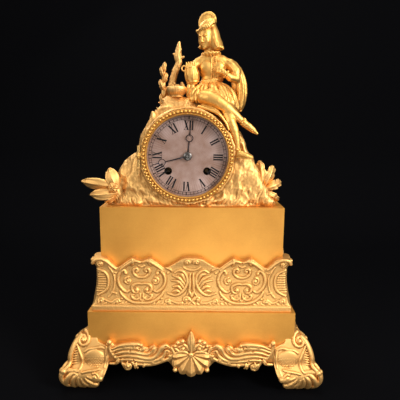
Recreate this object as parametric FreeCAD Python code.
import FreeCAD, Part
import math
import os

# Figural mantel clock. Millimetres, +Z up, front faces -Y,
# origin on the floor under the middle of the feet.

V = FreeCAD.Vector
X_AXIS, Y_AXIS, Z_AXIS = V(1, 0, 0), V(0, 1, 0), V(0, 0, 1)

# Feet and the rail between them
foot_overhang_x = 28.5
foot_overhang_y = 15.0
foot_height = 61.6
foot_width = 51.0
foot_return = 44.0
seat_height = 30.0
apron_thickness = 6.5
shell_width = 38.0
shell_bottom = 15.7
shell_top = 41.0
shell_spike = 65.7
shell_projection = 5.0
foot_screw_radius = 1.5
foot_screw_head_radius = 3.0
foot_screw_head = 2.0
foot_screw_length = 12.0
foot_screw_x_share = 0.775
foot_screw_y_share = 0.55

# Plinth boxes
sheet = 2.0
lower_width = 217.0
lower_depth = 103.0
lower_height = 53.0
upper_inset_x = 13.0
upper_inset_y = 6.5
upper_height = 109.0
base_plate_thickness = 3.0
base_plate_gap = 0.2
panel_margin_x = 18.0
panel_margin_z = 14.0
panel_gap = 0.2

# Frieze round the joint of the two boxes
frieze_side_projection = 9.0
frieze_fillet_height = 7.8
frieze_base_projection = 11.0
frieze_top_projection = 2.5
frieze_height = 57.0

# Rock casing
rock_inset = 3.1
rock_height = 114.4
rock_face_set = 3.0
rock_depth = 80.0
rock_wall = 4.5
rod_boss_radius = 6.0
rod_boss_height = 16.0
rod_x = 52.0
rod_y_share = 0.86
rod_radius = 2.0
rod_gap = 0.1
rod_thread_depth = 12.0
nut_flats = 8.0
nut_thickness = 4.0
rod_tail = 6.5

# Clock drum, dial and bezel
dial_x = -4.9
dial_rise = 52.5
dial_sight_radius = 41.2
bezel_outer_radius = 47.0
bezel_thickness = 4.2
bezel_seat_gap = 0.3
glass_thickness = 1.2
glass_lip = 1.4
glass_gap = 0.15
drum_radius = 44.0
drum_wall = 1.0
drum_bore_gap = 0.2
drum_flange_radius = 45.4
flange_thickness = 1.5
dial_thickness = 1.0
dial_set = 6.0
dial_gap = 0.2
dial_foot_radius = 1.2
dial_foot_place = 33.0
dial_foot_angles = (90.0, 210.0, 330.0)
dial_hole_gap = 0.4
winding_hole_radius = 3.6
winding_x = 20.0
winding_drop = 15.3
hinge_reach = 49.4
hinge_stand_off = 1.7
knuckle_radius = 1.6
hinge_pin_radius = 0.7
hinge_gap = 0.05
knuckle_length = 7.0
knuckle_end_gap = 0.3
strap_width = 8.0
strap_thickness = 1.2
door_radius = 44.5
door_thickness = 1.5
rear_ring_radius = 46.5
rear_ring_bore = 40.5
door_knob_radius = 2.2
door_knob_length = 6.0

# Movement
plate_radius = 36.0
plate_thickness = 2.0
plate_space = 30.0
motion_space = 6.0
pillar_radius = 2.2
pillar_place = 32.0
pillar_angles = (15.0, 52.0, 128.0, 165.0, 270.0)
arbor_radius = 0.5
centre_arbor_radius = 0.9
pivot_gap = 0.05
wheel_thickness = 1.0
pinion_length = 4.0
barrel_module = 0.36
barrel_teeth = 80
barrel_rim_radius = 13.2
barrel_height = 17.0
barrel_arbor_radius = 1.6
winding_square = 2.6
second_pinion_teeth = 12
second_module = 0.3
second_teeth = 72
centre_pinion_teeth = 10
centre_module = 0.21
centre_teeth = 96
third_pinion_teeth = 8
third_module = 0.2
third_teeth = 96
escape_pinion_teeth = 8
escape_teeth = 36
escape_radius = 8.4
escape_tooth_height = 1.3
escape_rise = 18.6
motion_module = 0.4
cannon_teeth = 12
minute_teeth = 36
hour_module = 0.384
minute_pinion_teeth = 10
hour_teeth = 40
cannon_radius = 1.5
hour_pipe_radius = 2.3
hand_thickness = 0.5
hand_gap = 0.7
hour_hand_length = 28.8
minute_hand_length = 38.3
hand_ring_radius = 3.8
hand_ring_width = 0.9
hand_width = 1.1
hour_ring_place = 18.2
minute_ring_place = 27.0
hour_hand_angle = 6.0
minute_hand_angle = 256.0
hand_nut_radius = 4.5
hand_nut_height = 1.3
pivot_rise = 30.0
pallet_half_span = 6.0
pallet_gap = 1.1
pallet_width = 1.4
crutch_length = 22.0
crutch_width = 2.0
pendulum_length = 119.8
pendulum_rod_radius = 1.0
pendulum_eye_radius = 2.2
pendulum_set = 53.0
bob_radius = 15.0
bob_thickness = 9.0
bob_face_share = 0.45
rating_nut_radius = 2.6
rating_nut_height = 2.5
slot_width = 44.0
slot_depth = 16.0
cock_width = 9.0
cock_ear = 1.2
cock_rise = 4.0
cock_height = 5.0
bell_radius = 24.0
bell_height = 14.0
bell_wall = 1.6
bell_x = 14.0
bell_drop = 2.0
bell_set = 61.0
bell_post_radius = 1.8
count_pinion_teeth = 20
count_wheel_x = -17.0
count_wheel_radius = 13.0
count_notch_depth = 1.6
count_wheel_thickness = 1.2
count_wheel_set = 0.6
hammer_x = -27.0
hammer_rise = 17.0
hammer_head_radius = 2.6
hammer_head_length = 8.0
hammer_arm_radius = 1.0
hammer_gap = 0.5
tooth_tip_share = 0.11
tooth_root_share = 0.22
addendum_share = 0.8
dedendum_share = 1.25

# Figure, stump, stem and leaves; their tables are in hundredths of these sizes
figure_size = 100.0
tree_size = 100.0
leaf_size = 100.0

cut_overrun = 1.0

# Sizes worked out from those above
foot_span = lower_width + 2 * foot_overhang_x
foot_depth_span = lower_depth + 2 * foot_overhang_y
upper_width = lower_width - 2 * upper_inset_x
upper_depth = lower_depth - 2 * upper_inset_y
frieze_base_width = upper_width + 2 * frieze_side_projection
rock_width = upper_width - 2 * rock_inset
figure_unit = figure_size / 100
tree_unit = tree_size / 100
leaf_unit = leaf_size / 100

# Places worked out from the sizes above
upper_front = -(lower_depth / 2) + (lower_depth - upper_depth)
upper_back = lower_depth / 2
lower_top = seat_height + lower_height
rock_base = lower_top + upper_height
dial_z = rock_base + dial_rise
rock_face = upper_front + rock_face_set
dial_front = upper_front + dial_set
plate_front = dial_front + dial_thickness + motion_space
plate_inside = plate_front + plate_thickness
plate_back = plate_inside + plate_space
rock_back = rock_face + rock_depth

parts = {}


def block(x0, x1, y0, y1, z0, z1):
    """Box between two corners."""
    return Part.makeBox(x1 - x0, y1 - y0, z1 - z0, V(x0, y0, z0))


def rod(radius, start, end):
    """Cylinder from one point to another."""
    run = end.sub(start)
    return Part.makeCylinder(radius, run.Length, start, run)


def disc(radius, y0, y1, x=dial_x, z=dial_z):
    """Disc or drum whose axis runs front to back."""
    return Part.makeCylinder(radius, y1 - y0, V(x, y0, z), Y_AXIS)


def ring(outer, inner, y0, y1, x=dial_x, z=dial_z):
    """Ring whose axis runs front to back."""
    return disc(outer, y0, y1, x, z).cut(disc(inner, y0 - cut_overrun, y1 + cut_overrun, x, z))


def join(shapes):
    """One solid from several that meet."""
    first = shapes[0]
    if len(shapes) == 1:
        return first
    return first.multiFuse(shapes[1:]).removeSplitter()


def smooth_face(points):
    """Face inside a closed smooth curve through the points."""
    curve = Part.BSplineCurve()
    curve.interpolate(Points=points, PeriodicFlag=True)
    return Part.Face(Part.Wire(curve.toShape()))


def straight_face(points):
    """Face inside a closed outline of straight edges."""
    return Part.Face(Part.makePolygon(points + points[:1]))


def front_slab(points_xz, y0, y1, smooth=True):
    """Outline seen from the front, thick from y0 to y1."""
    points = [V(x, y0, z) for x, z in points_xz]
    face = smooth_face(points) if smooth else straight_face(points)
    return face.extrude(V(0, y1 - y0, 0))


def side_slab(points_yz, x0, x1, smooth=True):
    """Outline seen from the side, thick from x0 to x1."""
    points = [V(x0, y, z) for y, z in points_yz]
    face = smooth_face(points) if smooth else straight_face(points)
    return face.extrude(V(x1 - x0, 0, 0))


def mirrored(shape):
    """The same shape on the other side of the middle plane."""
    return shape.mirror(V(0, 0, 0), X_AXIS)


limb_waist_share = 0.985


def limb(stations):
    """Rounded limb: a ball at each (centre, radius) station and tapers between them."""
    shapes = []
    for centre, radius in stations:
        shapes.append(Part.makeSphere(radius, centre))
    for (start, first), (end, last) in zip(stations, stations[1:]):
        shapes.append(taper(first * limb_waist_share, last * limb_waist_share, start, end))
    return join(shapes)


def taper(first, last, start, end):
    """Cone or cylinder between two points."""
    run = end.sub(start)
    if abs(first - last) < first * 0.001:
        return Part.makeCylinder(first, run.Length, start, run)
    return Part.makeCone(first, last, run.Length, start, run)


def oval_stack(stations):
    """Upright body through (centre, half width, half depth) stations."""
    wires = []
    for centre, half_width, half_depth in stations:
        wires.append(oval_wire(centre, half_width, half_depth))
    return Part.makeLoft(wires, True)


def oval_wire(centre, half_width, half_depth):
    """Level oval, whichever way is longer."""
    if half_width >= half_depth:
        oval = Part.Ellipse(centre, half_width, half_depth)
        return Part.Wire(oval.toShape())
    oval = Part.Ellipse(centre, half_depth, half_width)
    wire = Part.Wire(oval.toShape())
    wire.rotate(centre, Z_AXIS, 90)
    return wire


egg_angles = (-82, -60, -30, 0, 30, 60, 82)


def egg(centre, half_x, half_y, half_z, lean=0.0):
    """Egg-shaped body leaning about the front-to-back axis."""
    stations = []
    for angle in egg_angles:
        girth, height = math.cos(math.radians(angle)), math.sin(math.radians(angle))
        stations.append((V(0, 0, half_z * height), half_x * girth, half_y * girth))
    shape = oval_stack(stations)
    shape.rotate(V(0, 0, 0), Y_AXIS, lean)
    shape.translate(centre)
    return shape


def main_solid(shape):
    """The largest solid, without the crumbs that a cut left behind."""
    return max(shape.Solids, key=lambda solid: solid.Volume)


def keep(name, shape, *clear_of):
    """Store a piece, cut back from what it rests on."""
    single = len(shape.Solids) == 1
    for other in clear_of:
        shape = shape.cut(other)
    if single:
        shape = main_solid(shape)
    parts[name] = shape
    return shape


def mixed_face(straight_points, curved_points):
    """Face whose outline is straight edges closed by one smooth curve."""
    chain = [curved_points[-1]] + straight_points + [curved_points[0]]
    edges = [Part.makeLine(a, b) for a, b in zip(chain, chain[1:])]
    curve = Part.BSplineCurve()
    curve.interpolate(Points=curved_points)
    return Part.Face(Part.Wire([curve.toShape()] + edges))


# Feet
foot_front_share = (
    (0.0, 0.28), (0.13, 0.47), (0.24, 0.62), (0.28, 0.80), (0.42, 0.97), (0.56, 1.0), (0.70, 0.93),
    (0.76, 0.81), (0.88, 0.83), (0.98, 0.77), (1.0, 0.58), (0.97, 0.40), (0.88, 0.36),
    (0.76, 0.21), (0.57, 0.05), (0.42, -0.03), (0.24, -0.035), (0.10, 0.04))
foot_side_share = (
    (0.0, 0.28), (0.10, 0.47), (0.14, 0.62), (0.10, 0.82), (0.18, 0.97), (0.34, 1.0), (0.55, 0.95),
    (0.70, 0.81), (0.86, 0.83), (0.98, 0.77), (1.0, 0.58), (0.97, 0.40), (0.88, 0.36),
    (0.76, 0.21), (0.57, 0.05), (0.42, -0.03), (0.24, -0.035), (0.10, 0.04))


def box_seat():
    """Space of the lower box above the seats of the feet."""
    half_x, half_y = lower_width / 2, lower_depth / 2
    return block(-half_x, half_x, -half_y, half_y, seat_height, foot_height + cut_overrun + seat_height)


def make_foot(side_x, side_y):
    """Corner casting: front and side outlines meet in one round body."""
    out_x, out_y = side_x * foot_span / 2, side_y * foot_depth_span / 2
    front = [(out_x - side_x * u * foot_width, w * foot_height) for u, w in foot_front_share]
    side = [(out_y - side_y * u * foot_return, w * foot_height) for u, w in foot_side_share]
    body = front_slab(front, out_y + side_y * cut_overrun, out_y - side_y * (foot_return + cut_overrun))
    body = body.common(side_slab(side, out_x + side_x * cut_overrun,
                                 out_x - side_x * (foot_width + cut_overrun)))
    floor_cut = block(-foot_span, foot_span, -foot_span, foot_span, -foot_height, 0)
    return body.cut(floor_cut).cut(box_seat())


def foot_screw_place(side_x, side_y):
    """Where the screw of one foot stands."""
    x = foot_span / 2 - foot_width * foot_screw_x_share
    y = foot_depth_span / 2 - foot_return * foot_screw_y_share
    return (side_x * x, side_y * y)


corners = {"foot_front_left": (-1, -1), "foot_front_right": (1, -1),
           "foot_rear_left": (-1, 1), "foot_rear_right": (1, 1)}
plate_top = seat_height + base_plate_thickness
screw_bottom = plate_top - foot_screw_length
screws, screw_holes = [], []
for side_x, side_y in corners.values():
    x, y = foot_screw_place(side_x, side_y)
    shank = rod(foot_screw_radius, V(x, y, screw_bottom), V(x, y, plate_top))
    head = rod(foot_screw_head_radius, V(x, y, plate_top), V(x, y, plate_top + foot_screw_head))
    screws.append(join([shank, head]))
    screw_holes.append(rod(foot_screw_radius + rod_gap, V(x, y, screw_bottom), V(x, y, plate_top + cut_overrun)))
for name, (side_x, side_y) in corners.items():
    keep(name, make_foot(side_x, side_y), *screw_holes)
keep("foot_screws", Part.makeCompound(screws))
feet = [parts[name] for name in corners]

# Plates, rods and nuts that clamp the case together
rod_y = upper_front + (upper_back - upper_front) * rod_y_share
rod_places = [V(-rod_x, rod_y, 0), V(rod_x, rod_y, 0)]
rod_holes = []
for place in rod_places:
    rod_holes.append(rod(rod_radius + rod_gap, place, place + V(0, 0, rock_base + rod_thread_depth)))
plate_x = lower_width / 2 - sheet - base_plate_gap
plate_y = lower_depth / 2 - sheet - base_plate_gap
keep("base_plate", block(-plate_x, plate_x, -plate_y, plate_y, seat_height, plate_top),
     *screw_holes, *rod_holes)
rods, nuts = [], []
for place in rod_places:
    foot_of_rod = place + V(0, 0, seat_height - rod_tail)
    rods.append(rod(rod_radius, foot_of_rod, place + V(0, 0, rock_base + rod_thread_depth)))
    corner = nut_flats / math.sqrt(3)
    hexagon = [place + V(corner * math.cos(math.radians(60 * k)), corner * math.sin(math.radians(60 * k)),
                         seat_height - nut_thickness) for k in range(6)]
    nut = straight_face(hexagon).extrude(V(0, 0, nut_thickness))
    nuts.append(nut.cut(rod(rod_radius + pivot_gap, place, place + V(0, 0, rock_base))))
keep("tie_rods", Part.makeCompound(rods))
keep("tie_nuts", Part.makeCompound(nuts))


# Plinth boxes
def sheet_box(width, y0, y1, z0, z1):
    """Box of sheet metal, open underneath."""
    half = width / 2
    outer = block(-half, half, y0, y1, z0, z1)
    return outer.cut(block(-half + sheet, half - sheet, y0 + sheet, y1 - sheet, z0 - cut_overrun, z1 - sheet))


keep("lower_plinth", sheet_box(lower_width, -lower_depth / 2, lower_depth / 2, seat_height, lower_top),
     *rod_holes)
pendulum_y = upper_front + pendulum_set
slot = block(dial_x - slot_width / 2, dial_x + slot_width / 2, pendulum_y - slot_depth / 2,
             pendulum_y + slot_depth / 2, rock_base - sheet - cut_overrun, dial_z)
panel_x = upper_width / 2 - panel_margin_x
panel_z0, panel_z1 = lower_top + panel_margin_z, rock_base - panel_margin_z
panel_hole = block(-panel_x, panel_x, upper_back - sheet - cut_overrun, upper_back + cut_overrun,
                   panel_z0, panel_z1)
keep("upper_plinth", sheet_box(upper_width, upper_front, upper_back, lower_top, rock_base),
     slot, panel_hole, *rod_holes)
keep("plinth_back_panel", block(-panel_x + panel_gap, panel_x - panel_gap, upper_back - sheet, upper_back,
                                panel_z0 + panel_gap, panel_z1 - panel_gap))

# Apron between the feet, with the shell in its middle
apron_half = foot_span / 2 - foot_width
apron_left_share = (
    (-1.04, 0.80), (-1.04, 0.40), (-0.93, 0.44), (-0.82, 0.34), (-0.69, 0.36), (-0.58, 0.385), (-0.41, 0.456),
    (-0.30, 0.464), (-0.23, 0.367), (-0.18, 0.313), (-0.08, 0.29))
apron_top_share = (
    (-0.035, 0.95), (-0.09, 0.88), (-0.16, 0.885), (-0.21, 0.81), (-0.30, 0.82), (-0.46, 0.805),
    (-0.56, 0.74), (-0.63, 0.84), (-0.76, 0.81), (-0.94, 0.755))
apron_bottom = [(x * apron_half, z * foot_height) for x, z in apron_left_share]
apron_crown = [(x * apron_half, z * foot_height) for x, z in apron_top_share]
left_run = apron_crown[::-1]
outline = apron_bottom + [(0.0, shell_bottom)] + [(-x, z) for x, z in apron_bottom[::-1]]
outline += [(-x, z) for x, z in left_run] + [(0.0, shell_spike)] + apron_crown
apron_back = -lower_depth / 2
apron = front_slab(outline, apron_back - apron_thickness, apron_back)
shell_z = (shell_bottom + shell_top) / 2
shell_half_z = (shell_top - shell_bottom) / 2
shell = egg(V(0, apron_back - apron_thickness, shell_z), shell_width / 2, shell_projection, shell_half_z)
shell = shell.cut(block(-shell_width, shell_width, apron_back, lower_depth, 0, foot_height))
keep("apron_front", join([apron, shell]), *feet)

side_apron_half = foot_depth_span / 2 - foot_return
side_apron_share = (
    (-1.18, 0.76), (-1.18, 0.42), (-0.7, 0.36), (-0.3, 0.40), (0.0, 0.31), (0.3, 0.40), (0.7, 0.36),
    (1.18, 0.42), (1.18, 0.76), (0.6, 0.82), (0.25, 0.84), (0.0, 0.97), (-0.25, 0.84), (-0.6, 0.82))
side_outline = [(y * side_apron_half, z * foot_height) for y, z in side_apron_share]
side_apron = side_slab(side_outline, -lower_width / 2 - apron_thickness, -lower_width / 2)
keep("apron_left", side_apron, *feet)
keep("apron_right", mirrored(side_apron), *feet)

# Frieze: cresting outline, sloping front
frieze_half = frieze_base_width / 2
frieze_crest_share = (
    (-0.985, 0.80), (-0.985, 0.90), (-0.90, 0.945), (-0.82, 0.88), (-0.756, 0.81), (-0.69, 0.87),
    (-0.60, 0.99), (-0.51, 0.97), (-0.42, 0.99), (-0.36, 0.93), (-0.29, 0.83), (-0.21, 0.88),
    (-0.13, 0.985))
crest_left = [(x * frieze_half, lower_top + z * frieze_height) for x, z in frieze_crest_share]
crest = crest_left + [(0.0, lower_top + frieze_height)] + [(-x, z) for x, z in crest_left[::-1]]
neck_x = frieze_half * 0.925
neck_z = lower_top + frieze_height * 0.75
fillet_z = lower_top + frieze_fillet_height
frieze_front_y = upper_front - frieze_base_projection
straight = [(neck_x, neck_z), (frieze_half, fillet_z), (frieze_half, lower_top), (-frieze_half, lower_top),
            (-frieze_half, fillet_z), (-neck_x, neck_z)]
face = mixed_face([V(x, frieze_front_y, z) for x, z in straight], [V(x, frieze_front_y, z) for x, z in crest])
frieze_body = face.extrude(V(0, frieze_base_projection, 0))
frieze_roof = lower_top + frieze_height * 1.1


def frieze_slope(base, top):
    """Straight-sided profile (offset, height) of the band, leaning back."""
    return [(base, lower_top), (base, fillet_z), (top, frieze_roof), (0, frieze_roof), (0, lower_top)]


front_profile = [(upper_front - offset, z)
                 for offset, z in frieze_slope(frieze_base_projection, frieze_top_projection)]
keep("frieze_front", frieze_body.common(side_slab(front_profile, -frieze_half - cut_overrun,
                                                  frieze_half + cut_overrun, False)))
side_mid = (upper_front + upper_back) / 2
side_half = upper_depth / 2
side_crest_share = (
    (-1.0, 0.92), (-0.80, 0.94), (-0.62, 0.82), (-0.45, 0.88), (-0.24, 0.985), (0.0, 0.97), (0.24, 0.985),
    (0.45, 0.88), (0.62, 0.82), (0.80, 0.94), (1.0, 0.92))
side_crest = [V(-frieze_half, side_mid + y * side_half, lower_top + z * frieze_height)
              for y, z in side_crest_share]
side_base = [V(-frieze_half, upper_back, lower_top), V(-frieze_half, upper_front, lower_top)]
side_face = mixed_face(side_base, side_crest)
side_body = side_face.extrude(V(frieze_half - upper_width / 2, 0, 0))
side_base_out = frieze_half - upper_width / 2
side_profile = [(-upper_width / 2 - offset, z) for offset, z in frieze_slope(side_base_out, frieze_top_projection)]
side_band = side_body.common(front_slab(side_profile, upper_front - cut_overrun, upper_back + cut_overrun, False))
keep("frieze_left", side_band)
keep("frieze_right", mirrored(side_band))

# Rock casing
rock_outline_share = (
    (-0.985, 0.0), (-1.0, 0.04), (-0.959, 0.114), (-0.842, 0.21), (-0.854, 0.28), (-0.808, 0.39),
    (-0.728, 0.455), (-0.604, 0.518), (-0.605, 0.609), (-0.528, 0.736), (-0.43, 0.817), (-0.374, 0.90),
    (-0.325, 0.966), (-0.27, 1.0), (-0.16, 0.992), (-0.05, 0.975), (0.07, 0.94), (0.237, 0.878),
    (0.382, 0.827), (0.475, 0.694), (0.53, 0.542), (0.574, 0.459), (0.672, 0.445), (0.698, 0.367),
    (0.725, 0.229), (0.795, 0.138), (0.913, 0.07), (0.999, 0.0))
rock_back_share = ((0.40, 1.0), (0.68, 0.95), (0.86, 0.82), (0.95, 0.5), (1.0, 0.15), (1.0, 0.0))
rock_front_share = ((0.0, 0.885), (0.07, 0.96), (0.2, 1.0))


def rock_body(inset):
    """Rock mass: front outline met by side outline, drawn in by inset."""
    half = rock_width / 2 - inset
    top = rock_height - inset
    depth = rock_depth - 2 * inset
    front = rock_face + inset
    points = [V(x * half, front - cut_overrun, rock_base + z * top) for x, z in rock_outline_share]
    lower = rock_base - cut_overrun
    skirt = [V(points[-1].x, front - cut_overrun, lower), V(points[0].x, front - cut_overrun, lower)]
    face = mixed_face(skirt, points)
    body = face.extrude(V(0, depth + 2 * cut_overrun, 0))
    curve = [V(-half, front + y * depth, rock_base + z * top) for y, z in rock_front_share + rock_back_share]
    side_skirt = [V(-half, front + depth, lower), V(-half, front, lower)]
    side_face = mixed_face(side_skirt, curve)
    side_face.translate(V(-cut_overrun, 0, 0))
    body = body.common(side_face.extrude(V(2 * half + 2 * cut_overrun, 0, 0)))
    return body


bore_radius = drum_radius + drum_bore_gap
rock_solid = rock_body(0)
below_rock = block(-upper_width, upper_width, -upper_width, upper_width, 0, rock_base)
rock_solid = rock_solid.cut(below_rock)
sleeve = disc(bore_radius + rock_wall, rock_face, rock_face + rock_depth).common(rock_solid)
bosses = [rod(rod_boss_radius, V(place.x, place.y, rock_base), V(place.x, place.y, rock_base + rod_boss_height))
          for place in rod_places]
casing = join([rock_solid.cut(rock_body(rock_wall)), sleeve] + bosses)
behind_rock = block(-upper_width, upper_width, rock_face + rock_depth, rock_face + 2 * rock_depth,
                    rock_base, 2 * rock_base)
keep("rock_casing", casing, behind_rock, disc(bore_radius, upper_front, upper_back), slot, *rod_holes)


# Leaves beside the rock
leaf_thickness = 2.4
leaf_swell_share = ((0.0, 0.16), (0.25, 0.42), (0.45, 0.5), (0.7, 0.36), (0.9, 0.12))
left_leaf_share = (
    ((-12.4, 17.0), (24.6, 24.0), 10.5, 9.5),
    ((-10.4, 15.0), (-5.4, 39.0), 9.0, 6.5),
    ((-12.4, 12.0), (13.6, 13.5), 9.0, 3.5))
right_leaf_share = (
    ((-16.4, 8.0), (-26.4, 41.0), 12.0, 19.5),
    ((-15.4, 8.0), (-17.4, 47.0), 12.0, 15.5),
    ((-14.4, 8.0), (-5.4, 41.0), 11.0, 12.5),
    ((-13.4, 8.0), (3.6, 25.0), 12.0, 19.5),
    ((-13.4, 7.0), (2.1, 8.0), 9.0, 15.5),
    ((-17.4, 8.0), (-31.4, 28.0), 9.0, 12.5))


def leaf_point(side, out, rise, set_back):
    """Place counted out from an end of the rock, up from its foot and back from its face."""
    x = side * (rock_width / 2 + out * leaf_unit)
    return V(x, rock_face + set_back * leaf_unit, rock_base + rise * leaf_unit)


def leaf(side, base, tip, width, set_back):
    """Flat pointed leaf from base to tip."""
    start = leaf_point(side, base[0], base[1], set_back)
    run = leaf_point(side, tip[0], tip[1], set_back).sub(start)
    across = V(-run.z, 0, run.x).normalize()
    upper = [start + run * u + across * (width * w * leaf_unit) for u, w in leaf_swell_share]
    lower = [start + run * u - across * (width * w * leaf_unit) for u, w in leaf_swell_share]
    face = smooth_face(upper + [start + run] + lower[::-1])
    return face.extrude(V(0, leaf_thickness, 0))


leaf_root_radius = 6.0
left_root_x = rock_width / 2 - 8.4 * leaf_unit
left_root_reach = 10.0
right_root_x = rock_width / 2 - 15.4 * leaf_unit
right_root_reach = 8.0
leaf_root_rise_share = 1.4


def leaf_spray(side, leaves, root_x, root_reach):
    """Leaves joined at a root that stands on the box."""
    first_y = rock_face + min(entry[3] for entry in leaves) * leaf_unit
    last_y = rock_face + max(entry[3] for entry in leaves) * leaf_unit + leaf_thickness
    middle_y = (first_y + last_y) / 2
    root = egg(V(side * root_x, middle_y, rock_base + root_reach), root_reach, leaf_root_radius, root_reach * leaf_root_rise_share)
    below = block(-foot_span, foot_span, -foot_span, foot_span, 0, rock_base)
    return join([root] + [leaf(side, *entry) for entry in leaves]).cut(below)


keep("foliage_left", leaf_spray(-1, left_leaf_share, left_root_x, left_root_reach), rock_solid)
keep("foliage_right", leaf_spray(1, right_leaf_share, right_root_x, right_root_reach), rock_solid)

# Figure seated on the rock; its places are measured from the seat
seat_share = (17.0, 36.0, 108.0)
seat = V(seat_share[0] * figure_unit, upper_front + seat_share[1] * figure_unit,
         rock_base + seat_share[2] * figure_unit)


def at_seat(x, y, z):
    """Point measured from the seat, in figure sizes."""
    return seat + V(x, y, z) * figure_unit


def figure_limb(stations):
    """Limb whose stations are (x, y, z, radius) from the seat."""
    return limb([(at_seat(x, y, z), radius * figure_unit) for x, y, z, radius in stations])


def figure_stack(stations):
    """Body whose stations are (x, y, z, half width, half depth) from the seat."""
    return oval_stack([(at_seat(x, y, z), a * figure_unit, b * figure_unit) for x, y, z, a, b in stations])


def figure_egg(x, y, z, a, b, c, lean=0.0):
    """Ellipsoid placed from the seat."""
    return egg(at_seat(x, y, z), a * figure_unit, b * figure_unit, c * figure_unit, lean)


torso_share = ((7.0, 0.0, 4.0, 13.0, 9.5), (4.5, -1.0, 20.0, 11.2, 7.5), (2.5, -1.5, 30.0, 13.8, 8.5),
               (2.0, -1.0, 39.0, 15.0, 8.0), (2.5, -1.0, 44.5, 13.0, 7.0), (3.0, -1.5, 48.5, 7.0, 5.5),
               (2.5, -2.0, 53.0, 5.4, 5.2))
head_share = (0.2, -3.0, 63.5, 9.0, 9.6, 11.2, -10.0)
hat_share = (-1.4, 0.5, 84.6, 8.8, 6.0, 10.0, 12.0)
band_share = (-2.6, -2.0, 71.8, 13.4, 10.6, 4.2, -24.0)
hair_share = ((7.0, 1.0, 70.0, 6.0), (9.0, 1.5, 60.0, 6.4), (11.0, 1.5, 52.0, 4.2))
right_arm_share = ((-12.0, 0.0, 38.0, 5.6), (-19.0, -3.0, 29.0, 7.6), (-18.0, -4.0, 18.0, 7.0),
                   (-16.0, -5.0, 8.0, 5.0))
left_arm_share = ((16.0, 0.0, 41.0, 6.0), (23.0, -1.0, 31.0, 6.6), (26.5, -4.0, 21.0, 5.4),
                  (21.0, -10.0, 20.5, 4.2), (13.0, -12.0, 25.5, 3.4))
skirt_share = ((8.5, -6.0, -9.0, 22.5, 15.0), (8.0, -7.0, 1.0, 22.0, 15.0), (6.0, -3.0, 10.0, 16.0, 12.0),
               (4.5, -1.0, 18.0, 11.4, 8.0))
crossed_share = ((9.0, -7.0, -3.0, 8.0), (-2.0, -20.0, 0.5, 8.4), (-7.0, -24.0, -2.0, 7.4),
                 (2.0, -26.0, -8.0, 6.6), (13.0, -26.0, -13.0, 6.2), (25.0, -26.0, -20.0, 4.6),
                 (34.0, -26.0, -26.5, 3.2), (39.0, -26.0, -29.0, 3.6), (45.0, -26.5, -32.5, 3.4),
                 (50.5, -27.0, -37.0, 1.4))
standing_share = ((18.0, -12.0, -10.0, 7.6), (20.5, -27.0, -17.0, 6.6), (24.5, -31.0, -27.0, 5.0),
                  (28.0, -32.0, -40.0, 4.2), (29.5, -33.0, -50.0, 3.0), (31.0, -33.5, -55.5, 3.4),
                  (37.0, -35.0, -57.0, 2.6), (43.0, -36.0, -57.0, 1.6))
cloak_share = ((22.0, 8.0, 43.0, 3.4), (33.5, 8.0, 30.0, 5.6), (36.5, 8.0, 14.0, 5.4),
               (36.0, 8.0, -2.0, 5.0), (33.5, 8.0, -14.0, 3.0))

torso = figure_stack(torso_share)
torso = keep("figure_torso", torso, rock_solid)
head = figure_egg(*head_share)
hat = figure_egg(*hat_share)
band = figure_egg(*band_share)
hair = figure_limb(hair_share)
head = keep("figure_head", join([head, hat, band, hair]), torso)
skirt = keep("figure_skirt", figure_stack(skirt_share), torso, rock_solid)
right_arm = keep("figure_right_arm", figure_limb(right_arm_share), torso, skirt, rock_solid)
left_arm = keep("figure_left_arm", figure_limb(left_arm_share), torso, skirt, head)
crossed = keep("figure_crossed_leg", figure_limb(crossed_share), torso, skirt, rock_solid)
standing = keep("figure_standing_leg", figure_limb(standing_share), torso, skirt, crossed, rock_solid)
keep("figure_cloak", figure_limb(cloak_share), torso, left_arm, skirt, standing, crossed, rock_solid)

# Bowl, stump and leafy stem on the left of the rock
def tree_point(x, y, z):
    """Place counted from the clock's middle, from the plinth's front and from the rock's foot."""
    return V(x * tree_unit, upper_front + y * tree_unit, rock_base + z * tree_unit)


bowl_share = (-17.2, 30.0, 112.2)
bowl_at = tree_point(*bowl_share)
bowl_radius = 10.3
bowl_height = 9.0
bowl_foot_radius = 7.2
fruit_radius = 3.0
small_fruit_share = 0.8
fruit_places_share = (0.15, 0.7, -0.5)
bowl = Part.makeCone(bowl_foot_radius, bowl_radius, bowl_height, bowl_at)
fruit = [Part.makeSphere(fruit_radius * (1 if k == 0 else small_fruit_share),
                         bowl_at + V(bowl_radius * place, 0, bowl_height))
         for k, place in enumerate(fruit_places_share)]
bowl = keep("fruit_bowl", join([bowl] + fruit), rock_solid, right_arm)
stump_share = ((-23.0, 42.0, 109.0, 3.8), (-23.0, 42.0, 127.0, 3.2), (-20.0, 41.0, 138.0, 2.9),
               (-15.5, 40.0, 149.0, 3.3), (-16.5, 40.0, 156.0, 3.6), (-15.5, 40.0, 163.0, 2.4),
               (-15.0, 40.0, 170.0, 1.3))
stump = limb([(tree_point(x, y, z), r * tree_unit) for x, y, z, r in stump_share])
twig_share = ((-15.5, 40.0, 152.0, 2.4), (-9.0, 40.0, 156.0, 1.2))
twig = limb([(tree_point(x, y, z), r * tree_unit) for x, y, z, r in twig_share])
keep("branch_stump", join([stump, twig]), rock_solid, bowl)
stem_share = ((-33.0, 38.0, 98.0, 2.6), (-32.5, 38.0, 112.0, 3.4), (-31.0, 38.0, 124.0, 4.2),
              (-30.5, 38.0, 136.0, 3.2), (-30.0, 38.0, 149.0, 1.3))
stem = limb([(tree_point(x, y, z), r * tree_unit) for x, y, z, r in stem_share])
keep("leafy_stem", stem, rock_solid, bowl, parts["branch_stump"])


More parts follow.
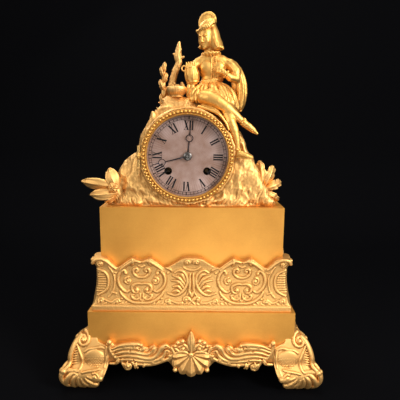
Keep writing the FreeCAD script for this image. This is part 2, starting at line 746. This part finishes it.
# Drum, bezel and rear door; both doors hang the same way
def hinge(side_x, out_y, plane_y, inner_x):
    """Fixed lugs, moving lug and pin of a door hinge on an upright axis."""
    axis_x = dial_x + side_x * hinge_reach
    axis_y = plane_y + out_y * hinge_stand_off
    half = knuckle_length / 2
    step = half + knuckle_end_gap
    spans = ((-step - knuckle_length, -step), (step, step + knuckle_length))
    pin_hole = rod(hinge_pin_radius + hinge_gap, V(axis_x, axis_y, rock_base), V(axis_x, axis_y, dial_z + dial_rise))
    fixed = []
    for low, high in spans:
        knuckle = rod(knuckle_radius, V(axis_x, axis_y, dial_z + low), V(axis_x, axis_y, dial_z + high))
        leaf_y = sorted((plane_y, plane_y + out_y * flange_thickness))
        leaf_x = sorted((axis_x, inner_x))
        fixed.append(join([knuckle, block(*leaf_x, *leaf_y, dial_z + low, dial_z + high)]).cut(pin_hole))
    knuckle = rod(knuckle_radius, V(axis_x, axis_y, dial_z - half), V(axis_x, axis_y, dial_z + half))
    near = plane_y + out_y * (flange_thickness + bezel_seat_gap)
    leaf_y = sorted((near, near + out_y * door_thickness))
    leaf_x = sorted((axis_x, inner_x))
    moving = join([knuckle, block(*leaf_x, *leaf_y, dial_z - half, dial_z + half)])
    end = step + knuckle_length
    pin = rod(hinge_pin_radius, V(axis_x, axis_y, dial_z - end), V(axis_x, axis_y, dial_z + end))
    return fixed, moving, pin, pin_hole


flange_front = rock_face - flange_thickness
drum_inner = drum_radius - drum_wall
lugs, bezel_lug, bezel_pin, bezel_pin_hole = hinge(-1, -1, rock_face, dial_x - drum_flange_radius + cut_overrun)
drum = join([ring(drum_radius, drum_inner, rock_face, rock_back),
             ring(drum_flange_radius, drum_inner, flange_front, rock_face)] + lugs)
keep("movement_drum", drum, slot)
bezel_back = flange_front - bezel_seat_gap
bezel_front = bezel_back - bezel_thickness
glass_radius = dial_sight_radius + glass_lip
bezel = join([ring(bezel_outer_radius, dial_sight_radius, bezel_front, bezel_back), bezel_lug])
rebate = disc(glass_radius + glass_gap, bezel_back - glass_thickness, bezel_back + cut_overrun)
keep("bezel", bezel, rebate, bezel_pin_hole)
keep("bezel_glass", disc(glass_radius, bezel_back - glass_thickness, bezel_back))
keep("bezel_hinge_pin", bezel_pin)
rear_lugs, door_lug, door_pin, door_pin_hole = hinge(1, 1, rock_back, dial_x + drum_flange_radius - cut_overrun)
keep("rear_ring", join([ring(rear_ring_radius, rear_ring_bore, rock_back, rock_back + flange_thickness)] + rear_lugs))
door_front = rock_back + flange_thickness + bezel_seat_gap
door_back = door_front + door_thickness
knob_x = dial_x - door_radius + door_knob_radius * 2
knob = disc(door_knob_radius, door_back, door_back + door_knob_length, knob_x)
keep("rear_door", join([disc(door_radius, door_front, door_back), door_lug, knob]), door_pin_hole)
keep("rear_door_pin", door_pin)

# Dial on its feet, and the straps that hold the movement
dial_back = dial_front + dial_thickness
winding_z = dial_z - winding_drop
dial = disc(drum_inner - dial_gap, dial_front, dial_back)
feet_of_dial = []
for angle in dial_foot_angles:
    x = dial_x + dial_foot_place * math.cos(math.radians(angle))
    z = dial_z + dial_foot_place * math.sin(math.radians(angle))
    feet_of_dial.append(disc(dial_foot_radius, dial_back, plate_front, x, z))
dial = join([dial] + feet_of_dial)
winding_places = (dial_x - winding_x, dial_x + winding_x)
winding_holes = [disc(winding_hole_radius, dial_front - cut_overrun, dial_back + cut_overrun, x, winding_z)
                 for x in winding_places]
keep("dial", dial, disc(hour_pipe_radius + dial_hole_gap, dial_front - cut_overrun, dial_back + cut_overrun),
     *winding_holes)
strap_out = drum_inner - drum_bore_gap * 2
straps = []
for side in (-1, 1):
    x0, x1 = sorted((dial_x + side * strap_out, dial_x + side * (strap_out - strap_thickness)))
    straps.append(block(x0, x1, dial_back, rock_back, dial_z - strap_width / 2, dial_z + strap_width / 2))
keep("drum_straps", Part.makeCompound(straps))


# Wheelwork
def gear_outline(teeth, module, x, z, phase, y):
    """Toothed outline; phase is the angle of one tooth in radians."""
    pitch_radius = teeth * module / 2
    tip = pitch_radius + module * addendum_share
    root = pitch_radius - module * dedendum_share
    step = 2 * math.pi / teeth
    points = []
    for k in range(teeth):
        middle = phase + k * step
        for radius, offset in ((root, -tooth_root_share), (tip, -tooth_tip_share),
                               (tip, tooth_tip_share), (root, tooth_root_share)):
            angle = middle + offset * step
            points.append(V(x + radius * math.cos(angle), y, z + radius * math.sin(angle)))
    return points


def gear(teeth, module, place, phase, y0, y1):
    """Toothed wheel between two planes."""
    return straight_face(gear_outline(teeth, module, place[0], place[1], phase, y0)).extrude(V(0, y1 - y0, 0))


def line_angle(first, second):
    """Angle of the line of centres."""
    return math.atan2(second[1] - first[1], second[0] - first[0])


def mesh_phase(teeth, phase, first, second, other_teeth):
    """Phase of the second gear that puts a gap where the first has a tooth."""
    angle = line_angle(first, second)
    turned = (angle - phase) * teeth / (2 * math.pi)
    return angle + math.pi - (2 * math.pi / other_teeth) * (0.5 - turned)


def meeting_place(first, first_reach, second, second_reach, side):
    """Point at given distances from two others, on the chosen side."""
    dx, dz = second[0] - first[0], second[1] - first[1]
    gap = math.hypot(dx, dz)
    along = (gap * gap + first_reach * first_reach - second_reach * second_reach) / (2 * gap)
    off = side * math.sqrt(first_reach * first_reach - along * along)
    return (first[0] + (along * dx - off * dz) / gap, first[1] + (along * dz + off * dx) / gap)


def reach(teeth, other_teeth, module):
    """Distance between the centres of two meshed gears."""
    return (teeth + other_teeth) * module / 2


centre = (dial_x, dial_z)
barrel_at = (dial_x + winding_x, winding_z)
strike_at = (dial_x - winding_x, winding_z)
escape_at = (dial_x, dial_z + escape_rise)
pivot_at = (dial_x, dial_z + pivot_rise)
second_at = meeting_place(barrel_at, reach(barrel_teeth, second_pinion_teeth, barrel_module),
                          centre, reach(second_teeth, centre_pinion_teeth, second_module), -1)
third_at = meeting_place(centre, reach(centre_teeth, third_pinion_teeth, centre_module),
                         escape_at, reach(third_teeth, escape_pinion_teeth, third_module), 1)
minute_at = (dial_x, dial_z + reach(cannon_teeth, minute_teeth, motion_module))
count_reach = reach(barrel_teeth, count_pinion_teeth, barrel_module)
count_x = dial_x + count_wheel_x
count_at = (count_x, winding_z + math.sqrt(count_reach ** 2 - (count_x - strike_at[0]) ** 2))
hammer_at = (dial_x + hammer_x, dial_z + hammer_rise)
bell_at_x, bell_at_z = dial_x + bell_x, dial_z - bell_drop

# Layers between the plates, from the front plate back
layer_gap = wheel_thickness / 2
barrel_y = plate_inside + 2 * layer_gap
second_y = barrel_y + barrel_height + 2 * layer_gap
centre_y = second_y + wheel_thickness + 2 * layer_gap
third_y = centre_y + wheel_thickness + 2 * layer_gap
escape_y = third_y + wheel_thickness + 2 * layer_gap
plate_end = plate_back + plate_thickness


def arbor(place, radius, y0, y1):
    """Round arbor along the train."""
    return disc(radius, y0, y1, place[0], place[1])


def pinion_span(wheel_y):
    """Front and back of a pinion centred on the wheel it drives."""
    middle = wheel_y + wheel_thickness / 2
    return middle - pinion_length / 2, middle + pinion_length / 2


square_half = winding_square / 2


def make_barrel(place):
    """Toothed spring barrel with its winding square."""
    wheel = gear(barrel_teeth, barrel_module, place, 0.0, barrel_y, barrel_y + wheel_thickness)
    drum_part = arbor(place, barrel_rim_radius, barrel_y + wheel_thickness, barrel_y + barrel_height)
    shaft = arbor(place, barrel_arbor_radius, plate_front, plate_end)
    square = block(place[0] - square_half, place[0] + square_half, dial_front, plate_front,
                   place[1] - square_half, place[1] + square_half)
    return join([wheel, drum_part, shaft, square])


keep("going_barrel", make_barrel(barrel_at))
keep("strike_barrel", make_barrel(strike_at))

second_phase = mesh_phase(barrel_teeth, 0.0, barrel_at, second_at, second_pinion_teeth)
low, high = pinion_span(barrel_y)
low = max(low, plate_inside + layer_gap)
second_pinion = gear(second_pinion_teeth, barrel_module, second_at, second_phase, low, high)
second_wheel = gear(second_teeth, second_module, second_at, 0.0, second_y, second_y + wheel_thickness)
keep("second_wheel", join([second_pinion, second_wheel, arbor(second_at, arbor_radius, plate_front, plate_end)]))

centre_phase = mesh_phase(second_teeth, 0.0, second_at, centre, centre_pinion_teeth)
low = second_y - layer_gap
centre_pinion = gear(centre_pinion_teeth, second_module, centre, centre_phase, low, centre_y)
centre_wheel = gear(centre_teeth, centre_module, centre, 0.0, centre_y, centre_y + wheel_thickness)
cannon_y1 = plate_front - layer_gap
cannon_y0 = cannon_y1 - wheel_thickness * 2
cannon_pinion = gear(cannon_teeth, motion_module, centre, 0.0, cannon_y0, cannon_y1)
hour_hand_back = dial_front - hand_gap
hour_hand_front = hour_hand_back - hand_thickness
minute_hand_back = hour_hand_front - hand_gap
minute_hand_front = minute_hand_back - hand_thickness
cannon = arbor(centre, cannon_radius, minute_hand_front, cannon_y1)
keep("centre_wheel", join([centre_pinion, centre_wheel, cannon_pinion, cannon,
                           arbor(centre, centre_arbor_radius, cannon_y0, plate_end)]))

third_phase = mesh_phase(centre_teeth, 0.0, centre, third_at, third_pinion_teeth)
low, high = centre_y - layer_gap, third_y
third_pinion = gear(third_pinion_teeth, centre_module, third_at, third_phase, low, high)
third_wheel = gear(third_teeth, third_module, third_at, 0.0, third_y, third_y + wheel_thickness)
keep("third_wheel", join([third_pinion, third_wheel, arbor(third_at, arbor_radius, plate_front, plate_end)]))

escape_phase = mesh_phase(third_teeth, 0.0, third_at, escape_at, escape_pinion_teeth)
escape_pinion = gear(escape_pinion_teeth, third_module, escape_at, escape_phase, third_y - layer_gap, escape_y)
saw = []
for k in range(escape_teeth):
    step = 2 * math.pi / escape_teeth
    for radius, share in ((escape_radius - escape_tooth_height, 0.0), (escape_radius, 0.55), (escape_radius, 0.65)):
        angle = (k + share) * step
        saw.append(V(escape_at[0] + radius * math.cos(angle), escape_y, escape_at[1] + radius * math.sin(angle)))
escape_wheel = straight_face(saw).extrude(V(0, wheel_thickness, 0))
keep("escape_wheel", join([escape_pinion, escape_wheel, arbor(escape_at, arbor_radius, plate_front, plate_end)]))

# Anchor, crutch, cock and pendulum
nib_reach = escape_radius + pallet_gap
nib_z = escape_at[1] + math.sqrt(nib_reach ** 2 - pallet_half_span ** 2)
anchor_points = [(dial_x - pallet_half_span, nib_z), (dial_x - pallet_half_span - pallet_width, nib_z),
                 (dial_x - pallet_width, pivot_at[1] + pallet_width),
                 (dial_x + pallet_width, pivot_at[1] + pallet_width),
                 (dial_x + pallet_half_span + pallet_width, nib_z), (dial_x + pallet_half_span, nib_z),
                 (dial_x, pivot_at[1] - pallet_width)]
anchor = front_slab(anchor_points, escape_y, escape_y + wheel_thickness, False)
crutch_y = plate_end + pivot_gap * 10
crutch_z = pivot_at[1] - crutch_length
crutch = block(dial_x - crutch_width / 2, dial_x + crutch_width / 2, crutch_y, crutch_y + wheel_thickness,
               crutch_z, pivot_at[1])
fork_radius = pendulum_rod_radius + rod_gap
fork = block(dial_x - crutch_width, dial_x + crutch_width, crutch_y, pendulum_y + crutch_width,
             crutch_z - crutch_width, crutch_z)
fork = fork.cut(rod(fork_radius, V(dial_x, pendulum_y, rock_base), V(dial_x, pendulum_y, pivot_at[1])))
hub = arbor(pivot_at, crutch_width / 2 + rod_gap * 5, crutch_y, crutch_y + wheel_thickness)
keep("pallet_anchor", join([anchor, crutch, fork, hub,
                            arbor(pivot_at, arbor_radius, plate_front, crutch_y + wheel_thickness)]))
ear_gap = pendulum_eye_radius / 2 + rod_gap
ear_front = pendulum_y - ear_gap - cock_ear
ear_back = pendulum_y + ear_gap + cock_ear
cock_z = pivot_at[1] + cock_rise
cock_half = cock_width / 2
cock = block(dial_x - cock_half, dial_x + cock_half, plate_end, ear_back, cock_z, cock_z + cock_height)
ears = []
for y0 in (ear_front, ear_back - cock_ear):
    ears.append(block(dial_x - cock_half, dial_x + cock_half, y0, y0 + cock_ear,
                      pivot_at[1] - pendulum_eye_radius, cock_z))
hang_pin = arbor(pivot_at, hinge_pin_radius, ear_front, ear_back)
keep("pendulum_cock", join([cock, hang_pin] + ears))
eye_half = pendulum_eye_radius / 2
bob_z = pivot_at[1] - pendulum_length
rod_end = bob_z - bob_radius - rating_nut_height * 2
pendulum = join([arbor(pivot_at, pendulum_eye_radius, pendulum_y - eye_half, pendulum_y + eye_half),
                 rod(pendulum_rod_radius, V(dial_x, pendulum_y, rod_end), V(dial_x, pendulum_y, pivot_at[1])),
                 rod(rating_nut_radius, V(dial_x, pendulum_y, bob_z - bob_radius - rating_nut_height),
                     V(dial_x, pendulum_y, bob_z - bob_radius))])
keep("pendulum_rod", pendulum, arbor(pivot_at, hinge_pin_radius + hinge_gap, ear_front, ear_back))
bob_at = V(dial_x, pendulum_y, bob_z)
bob = join([Part.makeCone(bob_radius, bob_radius * bob_face_share, bob_thickness / 2, bob_at, V(0, out_y, 0))
            for out_y in (-1, 1)])
keep("pendulum_bob", bob, rod(pendulum_rod_radius + pivot_gap, V(dial_x, pendulum_y, rod_end),
                              V(dial_x, pendulum_y, rock_base)))

# Motion work and hands
minute_phase = mesh_phase(cannon_teeth, 0.0, centre, minute_at, minute_teeth)
minute_wheel = gear(minute_teeth, motion_module, minute_at, minute_phase, cannon_y0 + layer_gap,
                    cannon_y0 + layer_gap + wheel_thickness)
hour_y0 = dial_back + layer_gap
hour_y1 = hour_y0 + wheel_thickness
minute_pinion = gear(minute_pinion_teeth, hour_module, minute_at, 0.0, hour_y0, cannon_y0 + layer_gap)
keep("motion_wheel", join([minute_wheel, minute_pinion, arbor(minute_at, arbor_radius, hour_y0, plate_inside)]))
hour_phase = mesh_phase(minute_pinion_teeth, 0.0, minute_at, centre, hour_teeth)
hour_wheel = gear(hour_teeth, hour_module, centre, hour_phase, hour_y0, hour_y1)
hour_pipe = arbor(centre, hour_pipe_radius, hour_hand_front, hour_y1)
keep("hour_wheel", join([hour_wheel, hour_pipe]), arbor(centre, cannon_radius + pivot_gap, hour_hand_front, hour_y1))


def make_hand(length, ring_place, hole_radius, angle, y0, y1):
    """Slim hand with an open ring, turned clockwise from twelve."""
    half = hand_width / 2
    points = [(dial_x - half, dial_z), (dial_x + half, dial_z), (dial_x + half * 0.6, dial_z + ring_place),
              (dial_x, dial_z + length), (dial_x - half * 0.6, dial_z + ring_place)]
    blade = front_slab(points, y0, y1, False)
    ring_z = dial_z + ring_place
    inner = disc(hand_ring_radius - hand_ring_width, y0 - cut_overrun, y1 + cut_overrun, dial_x, ring_z)
    loop = disc(hand_ring_radius, y0, y1, dial_x, ring_z)
    boss = disc(hole_radius + hand_width, y0, y1)
    hand = join([blade, loop, boss]).cut(inner).cut(disc(hole_radius, y0 - cut_overrun, y1 + cut_overrun))
    hand.rotate(V(dial_x, 0, dial_z), Y_AXIS, angle)
    return hand


keep("hour_hand", make_hand(hour_hand_length, hour_ring_place, hour_pipe_radius + pivot_gap, hour_hand_angle,
                            hour_hand_front, hour_hand_back))
keep("minute_hand", make_hand(minute_hand_length, minute_ring_place, cannon_radius + pivot_gap, minute_hand_angle,
                              minute_hand_front, minute_hand_back))
keep("hand_nut", disc(hand_nut_radius, minute_hand_front - hand_nut_height, minute_hand_front))

# Strike: count wheel, hammer and bell behind the back plate
count_y0 = plate_end + count_wheel_set
count_y1 = count_y0 + count_wheel_thickness
count_phase = mesh_phase(barrel_teeth, 0.0, strike_at, count_at, count_pinion_teeth)
count_pinion = gear(count_pinion_teeth, barrel_module, count_at, count_phase, barrel_y, barrel_y + wheel_thickness)
count_disc = arbor(count_at, count_wheel_radius, count_y0, count_y1)
notches = []
blows = 0
for hour in range(1, 13):
    blows += hour
    angle = 2 * math.pi * blows / 78
    x = count_at[0] + count_wheel_radius * math.cos(angle)
    z = count_at[1] + count_wheel_radius * math.sin(angle)
    notches.append(disc(count_notch_depth / 2, count_y0 - cut_overrun, count_y1 + cut_overrun, x, z))
keep("count_wheel", join([count_pinion, count_disc, arbor(count_at, arbor_radius, plate_front, count_y1)]), *notches)
bell_y0 = upper_front + bell_set
bell_y1 = bell_y0 + bell_height
bell_curve = (bell_radius ** 2 + bell_height ** 2) / (2 * bell_height)
bell_middle = V(bell_at_x, bell_y1 - bell_curve, bell_at_z)
bell_shell = Part.makeSphere(bell_curve, bell_middle).cut(Part.makeSphere(bell_curve - bell_wall, bell_middle))
bell_shell = bell_shell.common(block(-upper_width, upper_width, bell_y0, bell_y0 + bell_curve, rock_base, dial_z * 2))
post = disc(bell_post_radius, plate_end, bell_y1, bell_at_x, bell_at_z)
keep("bell", join([bell_shell, post]))
head_x = bell_at_x - bell_radius - hammer_gap - hammer_head_radius
head_z = bell_at_z
hammer_y = bell_y0 + hammer_head_radius
hammer = join([rod(hammer_arm_radius * 0.7, V(hammer_at[0], hammer_y, hammer_at[1]), V(head_x, hammer_y, head_z)),
               disc(hammer_arm_radius, plate_front, hammer_y + hammer_arm_radius * 1.5, hammer_at[0], hammer_at[1]),
               rod(hammer_head_radius, V(head_x, hammer_y, head_z - hammer_head_length / 2),
                   V(head_x, hammer_y, head_z + hammer_head_length / 2))])
keep("strike_hammer", hammer)

# Plates, pierced for every arbor
arbors = [(barrel_at, barrel_arbor_radius), (strike_at, barrel_arbor_radius), (second_at, arbor_radius),
          (third_at, arbor_radius), (escape_at, arbor_radius), (centre, centre_arbor_radius),
          (pivot_at, arbor_radius), (count_at, arbor_radius), (hammer_at, hammer_arm_radius)]
pivot_holes = [disc(radius + pivot_gap, plate_front - cut_overrun, plate_end + cut_overrun, place[0], place[1])
               for place, radius in arbors]
pillars = []
for angle in pillar_angles:
    x = dial_x + pillar_place * math.cos(math.radians(angle))
    z = dial_z + pillar_place * math.sin(math.radians(angle))
    pillars.append(disc(pillar_radius, plate_inside, plate_back, x, z))
front_plate = join([disc(plate_radius, plate_front, plate_inside)] + pillars)
minute_hole = disc(arbor_radius + pivot_gap, plate_front - cut_overrun, plate_inside + cut_overrun, *minute_at)
keep("front_plate", front_plate, minute_hole, *pivot_holes)
keep("back_plate", disc(plate_radius, plate_back, plate_end), *pivot_holes)


os.makedirs("parts", exist_ok=True)
for name, shape in parts.items():
    shape.exportStep(os.path.join("parts", name + ".step"))
    box = shape.BoundBox
    print(name, len(shape.Solids), shape.isValid(), round(shape.Volume, 1),
          [round(value, 1) for value in (box.XMin, box.XMax, box.YMin, box.YMax, box.ZMin, box.ZMax)])
